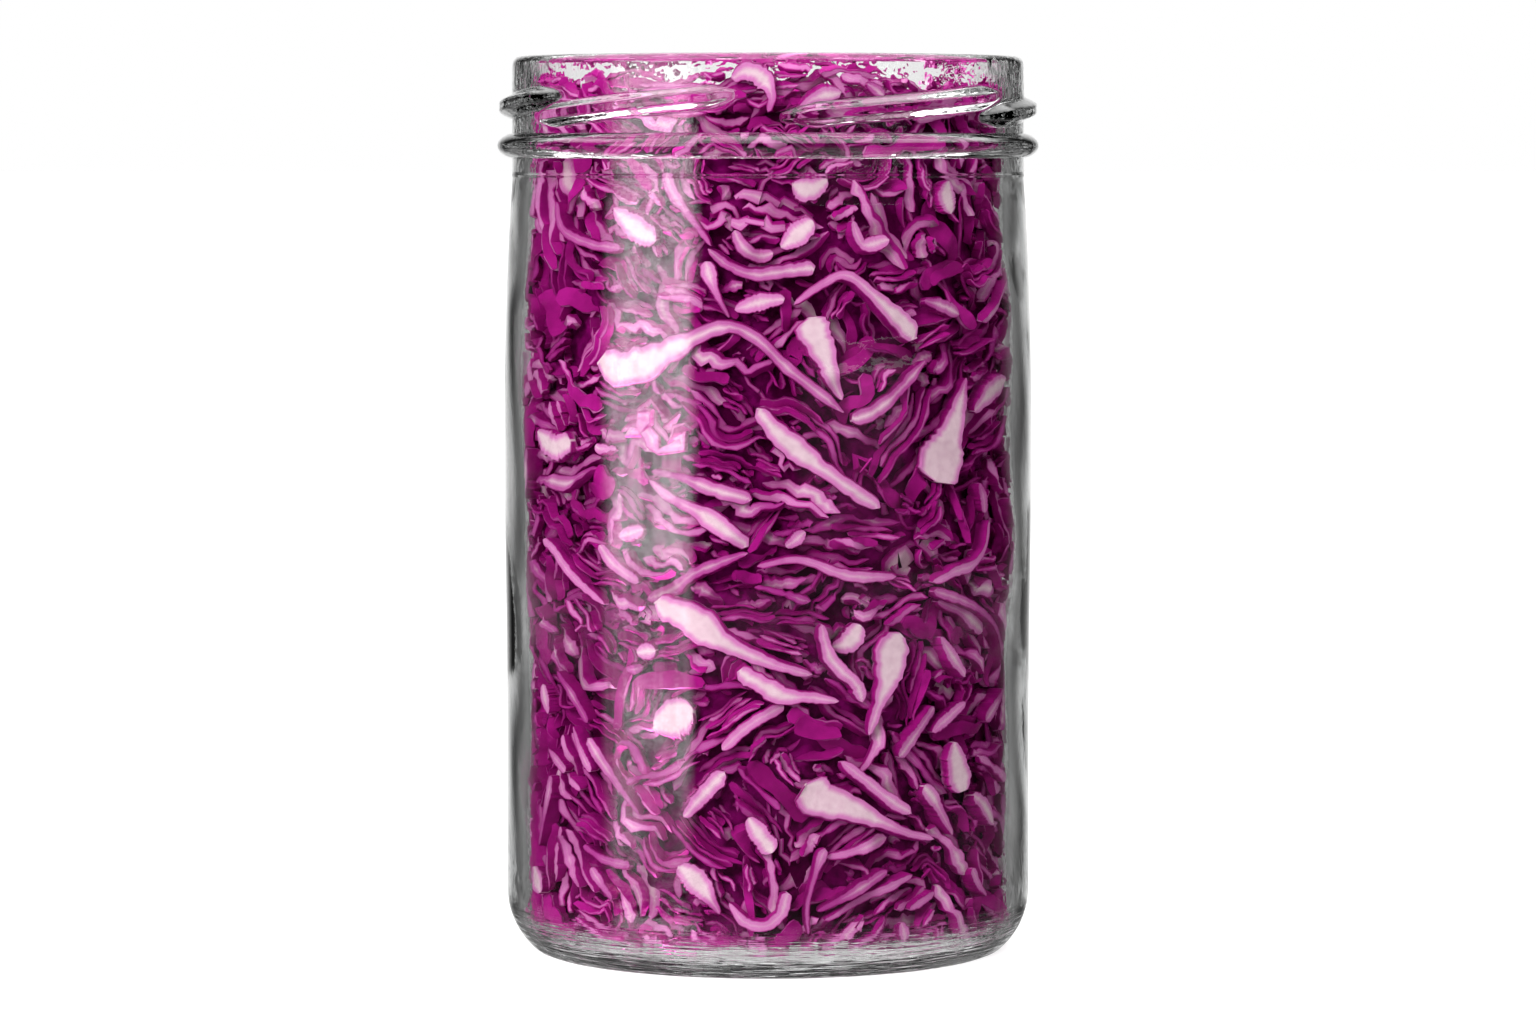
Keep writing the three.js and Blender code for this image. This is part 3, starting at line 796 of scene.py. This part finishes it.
Kind = namedtuple("Kind", "leaf cut long rings turned side_by_side", defaults=(0, (1, 1)))
KINDS = {
    "ribs": Kind(leaf=(2.2, 4.4), cut=(1.4, 2.0), long=(6, 18), rings=16),
    "strips": Kind(leaf=(1.1, 2.1), cut=(1.0, 1.7), long=(4, 17), rings=14, side_by_side=(1, 3)),
    "slivers": Kind(leaf=(0.6, 1.3), cut=(0.9, 1.5), long=(3, 14), rings=13, side_by_side=(2, 5)),
    "threads": Kind(leaf=(0.35, 0.8), cut=(0.8, 1.4), long=(3, 11), rings=11, side_by_side=(2, 6)),
    "skins": Kind(leaf=(0.5, 0.8), cut=(1.2, 2.9), long=(4, 14), rings=14, turned=1.2, side_by_side=(1, 2)),
    "chips": Kind(leaf=(0.9, 2.4), cut=(1.0, 1.8), long=(2, 5), rings=7),
    "crumbs": Kind(leaf=(0.5, 1.3), cut=(0.7, 1.4), long=(1.4, 4), rings=6, side_by_side=(1, 3)),
}
LAID_LAST = ("chips", "crumbs")
SHRED_ROUGH, SHRED_RECESS = 0.19, 0.35
LEAF_UNEVEN, CUT_UNEVEN = 0.3, 0.15
TURN_SPREAD, TWIST_SPREAD = 0.34, 1.1
RIB_ENDS, RIB_HEADS = (0.9, 1.5), (0.12, 0.88)
TIPS = (0.15, 2.6)

# How many bundles of each kind there are: round the wall, along the heap's edge, on its top and under it
WALL_BUNDLES = dict(ribs=170, strips=640, slivers=560, threads=560, skins=420, chips=800, crumbs=1500)
EDGE_BUNDLES = dict(slivers=30, threads=80, chips=120, crumbs=420)
TOP_BUNDLES = dict(ribs=14, strips=80, slivers=60, threads=40, skins=60, chips=80, crumbs=150)
FLOOR_BUNDLES = dict(ribs=8, strips=40, slivers=30, threads=20, skins=40, chips=60, crumbs=80)

# Where bundles go: the places tried for each, the spots looked at there, how the heading strays, how far a
# seen shred guides those near it, how strong the swirls are, the margins, and the lie of shreds on a disc
TRIES = 60
NEARBY = np.array([(0, 0), (1.2, 0), (-1.2, 0), (0, 1.2), (0, -1.2), (2.6, 0), (-2.6, 0)])
HEADING_SPREAD, STRAY_SHARE, STRAY_TURN = 0.36, 0.2, 1.5
SEEN_REACH, SWIRL_PULL = 6.5, 0.5
FOOT_MARGIN, WALL_MARGIN, EDGE_DEPTHS = 0.5, 2, (0.6, 4)
DISC_RIM, DISC_RIM_PULL, DISC_SPREAD = 0.6, 2.5, 1.6

# Bundles are painted paler up in the neck, as painted light falling in through the open mouth, and are a
# little paler at the foot
PALE_FROM = MOUTH_STARTS + CLIMB
NECK_PAINTED_LIGHT, FOOT_PALER, FOOT_ENDS = 1.2, 0.5, (6, 18)

BUNDLE_STEPS = 40
FAN_SPREAD, TINT_SPREAD = 0.35, 0.2
BUNDLE_GAPS, MEMBER_SPANS = (0.02, 0.25), (0.55, 1.0)
LONE_SPAN, LONE_START = 0.77, 0.11
BASE_LENGTHS, MEMBER_DRIFT = 1.3, 0.08


def new_shred(name, line, tint):
    kind = KINDS[name]
    count = kind.rings
    length = float(np.hypot(*np.diff(line, axis=0).T).sum())
    share, even = np.linspace(0, 1, len(line)), np.linspace(0, 1, count)
    line = np.stack([np.interp(even, share, line[:, i]) for i in (0, 1)], -1)
    thick = draw.uniform(*kind.leaf)
    leaf = thick * uneven(count, length, LEAF_UNEVEN)
    if name == "ribs":
        end, head = draw.uniform(*RIB_ENDS), draw.uniform(*RIB_HEADS)
        leaf = teardrop(np.linspace(0, length, count), thick, end, head)
    turn = kind.turned + draw.normal(0, TURN_SPREAD)
    turn = turn + draw.normal(0, TWIST_SPREAD) * np.linspace(-0.5, 0.5, count)
    cut = draw.uniform(*kind.cut) * uneven(count, length, CUT_UNEVEN)
    tips = draw.uniform(*TIPS, (2, 2)) * thick
    return Shred(line, leaf, cut, turn, tint, SHRED_ROUGH, SHRED_RECESS).ended(*tips)


def new_bundle(name, middle, heading):
    """Shreds cut from leaves that lay on each other, so they bend alike and fan out a little."""
    kind = KINDS[name]
    length = draw.uniform(*kind.long)
    base = wandering_line(middle, heading, length * BASE_LENGTHS, BUNDLE_STEPS)
    side = sideways(base)
    share = np.linspace(-0.5, 0.5, BUNDLE_STEPS)[:, None]
    members = int(draw.integers(kind.side_by_side[0], kind.side_by_side[1] + 1))
    fan = 1 + draw.normal(0, FAN_SPREAD) * share
    pitch = sum(kind.leaf) / 2 + draw.uniform(*BUNDLE_GAPS)
    in_neck = smoothstep(middle[1], PALE_FROM - 10, PALE_FROM)
    at_foot = 1 - smoothstep(middle[1], *FOOT_ENDS)
    # Painted light: bundles up in the neck get a paler tint where light falls in through the open mouth
    tint = draw.random() + NECK_PAINTED_LIGHT * in_neck + FOOT_PALER * at_foot
    shreds = []
    for place in np.arange(members) - (members - 1) / 2:
        span = draw.uniform(*MEMBER_SPANS) if members > 1 else LONE_SPAN
        start = draw.uniform(0, 1 - span) if members > 1 else LONE_START
        keep = slice(int(start * BUNDLE_STEPS), int((start + span) * BUNDLE_STEPS))
        line = (base + side * fan * (place * pitch + draw.normal(0, MEMBER_DRIFT)))[keep]
        shreds.append(new_shred(name, line, float(np.clip(tint + draw.normal(0, TINT_SPREAD), 0, 1))))
    return shreds


class Flow:
    """Which way the shreds lie: along the seen shreds near them, and in slow swirls elsewhere."""

    def __init__(self, seen):
        self.spots = np.vstack([shred.line[::4] for shred in seen])
        way = np.vstack([np.gradient(shred.line, axis=0)[::4] for shred in seen])
        double = 2 * np.arctan2(way[:, 1], way[:, 0])
        self.ways = np.stack([np.cos(double), np.sin(double)], -1)

    def heading(self, spot):
        u, v = spot
        swirl = 0.75 * math.sin(u / 19 + 0.9 * math.sin(v / 15)) + 0.6 * math.sin(v / 12 - u / 27 + 1.3)
        swirl -= 0.2
        near = np.exp(-((self.spots - spot) ** 2).sum(axis=1) / (2 * SEEN_REACH**2))
        slow_way = np.array([math.cos(2 * swirl), math.sin(2 * swirl)])
        way = (self.ways * near[:, None]).sum(axis=0) + SWIRL_PULL * slow_way
        return 0.5 * math.atan2(way[1], way[0])


def fits_wall(shred):
    """True where the shred stays under the heap's edge and above the floor."""
    reach = shred.extents()[0].max()
    edge = heap_edge(shred.line[:, 0] / BELLY_BORE) + CLIMB
    return bool((shred.line[:, 1] + reach < edge).all() and (shred.line[:, 1] > FOOT_MARGIN + reach).all())


def fill(packing, bundles, pick, heading_at, accept):
    """Lays bundles of every kind, each where the packing is still thinnest, and the smallest kinds last."""
    made = {name: [] for name in bundles}
    order = [name for name, count in bundles.items() for _ in range(count)]
    first = draw.permutation([name for name in order if name not in LAID_LAST])
    last = draw.permutation([name for name in order if name in LAID_LAST])
    for name in [*first, *last]:
        spots = pick(TRIES)
        spot = spots[packing.covered_at(spots[:, None] + NEARBY).mean(axis=1).argmin()]
        heading = heading_at(spot) + draw.normal(0, HEADING_SPREAD)
        heading += (draw.random() < STRAY_SHARE) * draw.uniform(-STRAY_TURN, STRAY_TURN)
        for shred in new_bundle(name, spot, heading):
            if accept(shred) and packing.lay(shred):
                made[name].append(shred)
    return made


def fill_wall(seen):
    """Shreds all round the glass: first those seen in the photo, then the rest, then more along the edge."""
    packing = Packing((0, 0), (ROUND, RIM), WALL_LAYERS, wraps=True)
    for shred in seen:
        packing.lay(shred)

    def anywhere(count):
        return draw.uniform((-ROUND / 2, WALL_MARGIN), (ROUND / 2, RIM - WALL_MARGIN), (count, 2))

    def near_edge(count):
        around = draw.uniform(-ROUND / 2, ROUND / 2, count)
        edge = heap_edge(around / BELLY_BORE) + CLIMB
        return np.stack([around, edge - draw.uniform(*EDGE_DEPTHS, count)], -1)

    def level(spot):
        return 0.0

    made = fill(packing, WALL_BUNDLES, anywhere, Flow(seen).heading, fits_wall)
    for name, shreds in fill(packing, EDGE_BUNDLES, near_edge, level, fits_wall).items():
        made[name] += shreds
    return {**made, "seen": seen}


def fill_disc(radius, bundles):
    """Shreds lying over a disc, round its rim and every way in its middle."""
    packing = Packing((-radius, -radius), (radius, radius), DISC_LAYERS)

    def inside(shred):
        reach = shred.extents()[0].max()
        return bool((np.hypot(*shred.line.T) + reach < radius).all())

    def spots(count):
        far, turn = radius * np.sqrt(draw.random(count)), draw.uniform(0, 2 * math.pi, count)
        return np.stack([far * np.cos(turn), far * np.sin(turn)], -1)

    def heading(place):
        rim = max(0.0, np.hypot(*place) / radius - DISC_RIM) * DISC_RIM_PULL
        any_way = draw.uniform(-DISC_SPREAD, DISC_SPREAD)
        return math.atan2(place[0], -place[1]) * rim + any_way * (1 - min(rim, 1))

    made = fill(packing, bundles, spots, heading, inside)
    return [shred for shreds in made.values() for shred in shreds]


def join_shreds(name, shreds, place, top=0.0):
    """One mesh of many shreds. Each point keeps its place across the leaf, the leaf size, tint and depth."""
    points, across, leaf, tint, deep, loops, starts, totals = [], [], [], [], [], [], [], []
    first = loop_count = 0
    sides = len(SECTION)
    for shred in shreds:
        count = len(shred.line)
        points.append(shred.points(place).reshape(-1, 3))
        across.append(np.tile(SECTION[:, 0], count))
        leaf.append(np.repeat(shred.leaf, sides))
        tint.append(np.full(count * sides, shred.tint))
        deep.append(np.repeat(np.abs(shred.depth - top), sides))
        rings = first + sides * np.arange(count - 1)[:, None]
        corner = rings + np.arange(sides)
        after = rings + (np.arange(sides) + 1) % sides
        quads = np.stack([corner, corner + sides, after + sides, after], -1).reshape(-1)
        caps = [first + np.arange(sides), first + sides * (count - 1) + np.arange(sides)[::-1]]
        loops += [quads, *caps]
        sizes = np.array([4] * ((count - 1) * sides) + [sides] * 2)
        totals.append(sizes)
        starts.append(loop_count + np.concatenate([[0], np.cumsum(sizes)[:-1]]))
        loop_count += int(sizes.sum())
        first += count * sides
    mesh = bpy.data.meshes.new(name)
    mesh.vertices.add(first)
    mesh.vertices.foreach_set("co", (np.vstack(points) * MM).ravel())
    mesh.loops.add(loop_count)
    mesh.loops.foreach_set("vertex_index", np.concatenate(loops))
    mesh.polygons.add(sum(map(len, totals)))
    mesh.polygons.foreach_set("loop_start", np.concatenate(starts))
    mesh.polygons.foreach_set("loop_total", np.concatenate(totals))
    mesh.update(calc_edges=True)
    mesh.validate()
    for label, values in (("across", across), ("leaf", leaf), ("tint", tint), ("deep", deep)):
        mesh.attributes.new(label, "FLOAT", "POINT").data.foreach_set("value", np.concatenate(values))
    mesh.shade_smooth()
    mesh.set_sharp_from_angle(angle=math.radians(38))
    thing = bpy.data.objects.new(name, mesh)
    bpy.context.scene.collection.objects.link(thing)
    return thing


# The studio. What the glass mirrors and bends is set apart from the light that falls on the cabbage: a white
# backdrop close behind, dark on either side, a tall softbox on the left, and a dim panel and pane on the
# right. Bearings are from the front, but the backdrop's and the side glow's from the back. Heights are the
# sines of elevations, and the places and sizes of lights are in metres

BACKDROP_EDGES, BACKDROP_FADES = (8 * DEGREE, 28 * DEGREE), (0.25, 0.8)
SIDE_GLOW, SIDE_GLOW_MIDDLE, SIDE_GLOW_WIDTH = 0.22, 38 * DEGREE, 7 * DEGREE
SOFTBOX_GLOW, SOFTBOX_HEIGHTS = 4.2, (-0.15, -0.075, 0.3, 0.5)
SOFTBOX_EDGES = (-79 * DEGREE, -69 * DEGREE, -37 * DEGREE, -31 * DEGREE)
SOFTBOX_CLOUDS, CLOUDS_DARK, CLOUDS_RISE = (9.0, 9.0, 90.0), 0.45, 0.6
PANEL_GLOW, PANEL_HEIGHTS = 0.12, (-0.12, -0.02, -0.006, 0.0)
PANEL_EDGES = (10 * DEGREE, 16 * DEGREE, 58 * DEGREE, 66 * DEGREE)
PANE_GLOW, PANE_HEIGHTS = 1.3, (-0.0105, -0.0095, -0.0058, -0.005)
PANE_EDGES = (22 * DEGREE, 25 * DEGREE, 64 * DEGREE, 68 * DEGREE)
GROUND_GLOW, GROUND_HEIGHTS = 0.5, (-0.3, -0.1)
NEAR_GROUND_GLOW, NEAR_GROUND_HEIGHTS = 0.5, (-0.65, -0.35)
OVERHEAD_GLOW, OVERHEAD_HEIGHTS = 3.2, (0.4, 0.65)
SLATS, SLATS_SHARE, SLATS_HEIGHTS = (2.0, 2.0, 34.0), 0.75, (-0.16, -0.1)
FILL_LIGHT, FILL_FROM_LEFT, FILL_FROM_POLES, FILL_FROM_FRONT = 1.08, 0.22, 0.3, 0.1

KEY_PLACE, KEY_AIM, KEY_SIZE, KEY_ENERGY = (-0.55, -0.85, 0.6), (0, 0, 0.07), 0.5, 11.0
NECK_PLACE, NECK_AIM, NECK_SIZE, NECK_ENERGY = (-0.02, -0.15, 0.28), (0, -0.03, 0.125), 0.12, 0.3
STRIP_BEARING, STRIP_HALF_ANGLE, STRIP_SPREAD = -28.5 * DEGREE, 10.5 * DEGREE, 0.6 * DEGREE
STRIP_DISTANCE, STRIP_MIDDLE, STRIP_HEIGHT, STRIP_ENERGY = 0.8, 0.07, 0.15, 0.05


def window(value, edges):
    """Rises from 0 to 1 between the first two edges, and falls back between the last two."""
    return value.step(edges[0], edges[1]) * (1.0 - value.step(edges[2], edges[3]))


def make_world():
    """White to the camera, a studio to the glass, and plain soft light to all that isn't glass."""
    world = bpy.data.worlds.new("studio")
    world.cycles.sampling_method = "NONE"
    bpy.context.scene.world = world
    nodes = Nodes(world)
    way = nodes.out("ShaderNodeTexCoord", "Generated")
    x, y, z = (Value(nodes, socket) for socket in nodes.add("ShaderNodeSeparateXYZ", Vector=way).outputs)
    bearing = x.math("ARCTAN2", y * -1.0)
    behind = x.math("ARCTAN2", y).math("ABSOLUTE")
    off_level = z.math("ABSOLUTE")
    backdrop = (1.0 - behind.step(*BACKDROP_EDGES)) * (1.0 - off_level.step(*BACKDROP_FADES) * 0.8)
    off_glow = ((behind - SIDE_GLOW_MIDDLE) / SIDE_GLOW_WIDTH) ** 2.0
    side_glow = (off_glow * -1.0).math("EXPONENT") * SIDE_GLOW
    clouds = CLOUDS_DARK + nodes.noise(nodes.stretched(way, SOFTBOX_CLOUDS)).step(0.38, 0.6) * CLOUDS_RISE
    softbox = window(bearing, SOFTBOX_EDGES) * window(z, SOFTBOX_HEIGHTS) * SOFTBOX_GLOW * clouds
    pane = window(bearing, PANE_EDGES) * window(z, PANE_HEIGHTS) * PANE_GLOW
    panel = window(bearing, PANEL_EDGES) * window(z, PANEL_HEIGHTS) * PANEL_GLOW
    ground = (1.0 - z.step(*GROUND_HEIGHTS)) * GROUND_GLOW
    ground = ground + (1.0 - z.step(*NEAR_GROUND_HEIGHTS)) * NEAR_GROUND_GLOW
    overhead = z.step(*OVERHEAD_HEIGHTS) * OVERHEAD_GLOW
    slats = nodes.noise(nodes.stretched(way, SLATS)).step(0.42, 0.58)
    slatted = (1.0 - z.step(*SLATS_HEIGHTS)) * slats * SLATS_SHARE
    around = backdrop.math("MAXIMUM", ground) * (1.0 - slatted)
    shown = around + side_glow + softbox + panel + pane + overhead
    fill_light = (1.0 - x * FILL_FROM_LEFT + off_level * FILL_FROM_POLES - y * FILL_FROM_FRONT) * FILL_LIGHT
    camera = nodes.out("ShaderNodeLightPath", "Is Camera Ray")
    diffuse = nodes.out("ShaderNodeLightPath", "Diffuse Depth").math("MINIMUM", 1.0)
    strength = shown * (1.0 - diffuse) + fill_light * diffuse
    strength = strength * (1.0 - camera) + camera
    nodes.finish(nodes.add("ShaderNodeBackground", Color=rgb(1, 1, 1), Strength=strength),
                 "ShaderNodeOutputWorld")


def add_light(name, place, aim, width, height, energy, spread=math.pi):
    """A soft rectangular light that shows neither to the camera nor in the glass."""
    light = bpy.data.lights.new(name, "AREA")
    light.shape = "RECTANGLE"
    light.size = width
    light.size_y = height
    light.energy = energy
    light.spread = spread
    thing = bpy.data.objects.new(name, light)
    bpy.context.scene.collection.objects.link(thing)
    thing.location = place
    thing.rotation_euler = (Vector(aim) - Vector(place)).to_track_quat("-Z", "Y").to_euler()
    thing.visible_camera = False
    thing.visible_glossy = False
    thing.visible_transmission = False


def make_lights():
    """A key light from the upper left, one on the open neck, and a beam on an upright strip of cabbage."""
    add_light("key_light", KEY_PLACE, KEY_AIM, KEY_SIZE, KEY_SIZE, KEY_ENERGY)
    add_light("neck_light", NECK_PLACE, NECK_AIM, NECK_SIZE, NECK_SIZE, NECK_ENERGY)
    aim = Vector((0, 0, STRIP_MIDDLE))
    place = aim + STRIP_DISTANCE * Vector((math.sin(STRIP_BEARING), -math.cos(STRIP_BEARING), 0))
    width = 2 * BELLY_BORE * math.sin(STRIP_HALF_ANGLE) * MM
    add_light("strip_light", place, aim, width, STRIP_HEIGHT, STRIP_ENERGY, STRIP_SPREAD)


def make_floor():
    deselect()
    bpy.ops.mesh.primitive_plane_add(size=60, location=(0, 0, 0))
    floor = bpy.context.object
    floor.name = "floor"
    floor.data.materials.append(floor_material())
    floor.visible_glossy = False
    floor.visible_transmission = False


# The object

make_camera()
make_world()
make_lights()
make_floor()

jar = make_jar()
jar.data.materials.append(glass_material())
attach(jar, "root")
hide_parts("jar")

cut_leaf = shred_material()
core = make_core()
core.data.materials.append(core_material())
cabbage = [core]
wall_shreds = fill_wall(seen_shreds())
top_shreds = fill_disc(TOP_RADIUS, TOP_BUNDLES)
floor_shreds = fill_disc(UNDER_RADIUS, FLOOR_BUNDLES)
for name, shreds in wall_shreds.items():
    cabbage.append(join_shreds(f"wall_{name}", shreds, on_wall))
cabbage.append(join_shreds("top_shreds", top_shreds, on_top, TOP_LAYERS))
cabbage.append(join_shreds("floor_shreds", floor_shreds, on_floor))
for piece in cabbage:
    if piece is not core:
        piece.data.materials.append(cut_leaf)
    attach(piece, "root")
    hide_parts("cabbage")

bpy.context.scene.view_settings.view_transform = "Standard"
